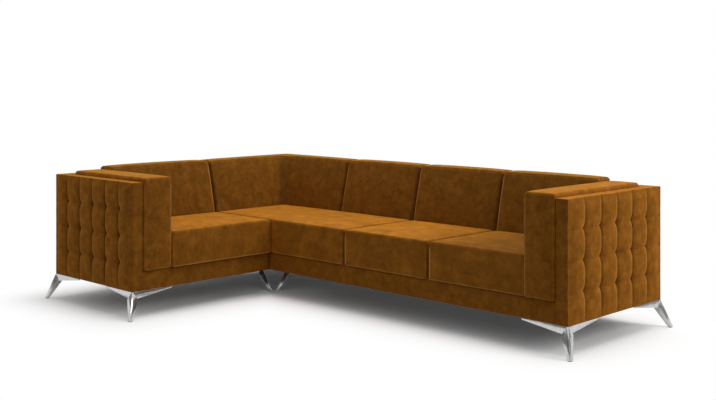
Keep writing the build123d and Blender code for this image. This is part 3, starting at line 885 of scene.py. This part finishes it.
# shadeBoxes are the middle and half sizes of the floor under the main run and under the return; a flag has
# its place, size and tone
studio = {
    "floorSize": 60.0, "floorTint": 1.35, "floorLift": 0.022, "floorBounce": 0.34, "worldLight": 0.38,
    "shadeBoxes": (((-0.029, 0.49), (1.449, 0.44)), ((-1.07, 0.0), (0.409, 0.929))), "shadeReach": 0.45,
    "key": {"place": (5.0, 1.6, 2.6), "aim": (0.3, 0.2, 0.4), "size": (2.0, 2.0), "power": 55.0},
    "top": {"place": (0.6, 1.0, 5.2), "aim": (0.0, 0.2, 0.4), "size": (5.0, 4.0), "power": 100.0},
    "flags": {
        "flagLeft": ((-2.6, -6.0, 2.2), (5.2, 3.6), 0.14),
        "flagRight": ((4.6, 4.4, 0.9), (3.6, 1.8), 0.25),
        "flagFar": ((-4.4, -3.0, 1.45), (2.6, 1.8), 0.18),
        "flagOver": ((3.56, 2.34, 2.85), (1.6, 1.2), 0.26),
    },
}
white = (1, 1, 1, 1)


def grey(tone):
    return tone, tone, tone, 1


# Dark flags stand out of view, for the metal alone to reflect
def makeFlag(name, place, size, tone):
    clearSelection()
    bpy.ops.mesh.primitive_plane_add(size=1, location=place)
    flag = bpy.context.object
    flag.name = name
    flag.scale = (*size, 1)
    flag.rotation_euler = Vector((-place[0], -place[1], 0)).to_track_quat("Z", "Y").to_euler()
    material, tree = newTree(name)
    glow = addNode(tree, "ShaderNodeEmission", {"Color": grey(tone)})
    addNode(tree, "ShaderNodeOutputMaterial", {"Surface": glow.outputs[0]})
    flag.data.materials.append(material)
    flag.visible_camera = flag.visible_diffuse = flag.visible_shadow = flag.visible_transmission = False


# 1 for what the camera sees, straight, in a mirror or through glass, and 0 for what only lights the sofa
def seenRays(tree):
    rays = addNode(tree, "ShaderNodeLightPath").outputs
    seen = maths(tree, "MAXIMUM", rays["Is Camera Ray"], rays["Is Glossy Ray"])
    return maths(tree, "MAXIMUM", seen, rays["Is Transmission Ray"])


# How far a place on the floor lies outside a box
def boxReach(tree, place, middle, half):
    beyond = vectorMaths(tree, "ABSOLUTE", vectorMaths(tree, "SUBTRACT", place, (*middle, 0)))
    beyond = vectorMaths(tree, "MAXIMUM", vectorMaths(tree, "SUBTRACT", beyond, (*half, 0)))
    return addNode(tree, "ShaderNodeVectorMath", {0: beyond}, operation="LENGTH").outputs["Value"]


# The floor keeps the shade close round both arms of the sofa and runs into the white beyond it
def makeFloor():
    clearSelection()
    bpy.ops.mesh.primitive_plane_add(size=studio["floorSize"], location=(0, 0, 0))
    floor = bpy.context.object
    floor.name = "studioFloor"
    material, tree = newTree("studioFloor")
    pale = addNode(tree, "ShaderNodeBsdfDiffuse", {"Color": grey(studio["floorTint"])})
    lift = addNode(tree, "ShaderNodeEmission", {"Color": white, "Strength": studio["floorLift"]})
    near = addNode(tree, "ShaderNodeAddShader", {0: pale.outputs[0], 1: lift.outputs[0]})
    place = addNode(tree, "ShaderNodeTexCoord").outputs["Object"]
    reaches = [boxReach(tree, place, middle, half) for middle, half in studio["shadeBoxes"]]
    nearest = maths(tree, "MINIMUM", *reaches)
    shade = mapRange(tree, nearest, fromMax=studio["shadeReach"], toMin=1.0, toMax=0.0)
    fade = maths(tree, "SUBTRACT", 1.0, maths(tree, "MULTIPLY", shade, shade))
    far = addNode(tree, "ShaderNodeEmission", {"Color": white, "Strength": 1.0})
    bright = addNode(tree, "ShaderNodeMixShader", {0: fade, 1: near.outputs[0], 2: far.outputs[0]})
    dull = addNode(tree, "ShaderNodeBsdfDiffuse", {"Color": grey(studio["floorBounce"])})
    mixed = addNode(tree, "ShaderNodeMixShader", {
        0: seenRays(tree), 1: dull.outputs[0], 2: bright.outputs[0]})
    addNode(tree, "ShaderNodeOutputMaterial", {"Surface": mixed.outputs[0]})
    floor.data.materials.append(material)


def makeWorld():
    world = bpy.data.worlds.new("studioWorld")
    bpy.context.scene.world = world
    world.use_nodes = True
    tree = world.node_tree
    tree.nodes.clear()
    soft = addNode(tree, "ShaderNodeBackground", {"Color": white, "Strength": studio["worldLight"]})
    plain = addNode(tree, "ShaderNodeBackground", {"Color": white, "Strength": 1.0})
    mixed = addNode(tree, "ShaderNodeMixShader", {0: seenRays(tree), 1: soft.outputs[0], 2: plain.outputs[0]})
    addNode(tree, "ShaderNodeOutputWorld", {"Surface": mixed.outputs[0]})


def makeLamp(name, lamp):
    bpy.ops.object.light_add(type="AREA", location=lamp["place"])
    light = bpy.context.object
    light.name = name
    light.data.shape = "RECTANGLE"
    light.data.size, light.data.size_y = lamp["size"]
    light.data.energy = lamp["power"]
    light.rotation_euler = (Vector(lamp["aim"]) - Vector(lamp["place"])).to_track_quat("-Z", "Y").to_euler()


# The camera looks level, as the photograph's did, and its shift lowers the frame
cameraLook = {
    "place": (4.1903, -4.1058, 1.2830), "turn": 0.7773, "sensor": 36, "lens": 52.29, "shift": -0.1618,
    "reach": 200,
}


def makeCamera():
    look = cameraLook
    bpy.ops.object.camera_add(location=look["place"], rotation=(math.pi / 2, 0, look["turn"]))
    camera = bpy.context.object
    camera.name = "photoCamera"
    camera.data.sensor_width = look["sensor"]
    camera.data.lens = look["lens"]
    camera.data.shift_y = look["shift"]
    camera.data.clip_end = look["reach"]
    bpy.context.scene.camera = camera


makeFloor()
makeWorld()
for name in ("key", "top"):
    makeLamp(name + "Lamp", studio[name])
for name, (place, size, tone) in studio["flags"].items():
    makeFlag(name, place, size, tone)
makeCamera()
bpy.context.scene.view_settings.view_transform = "Standard"
print("studio made")
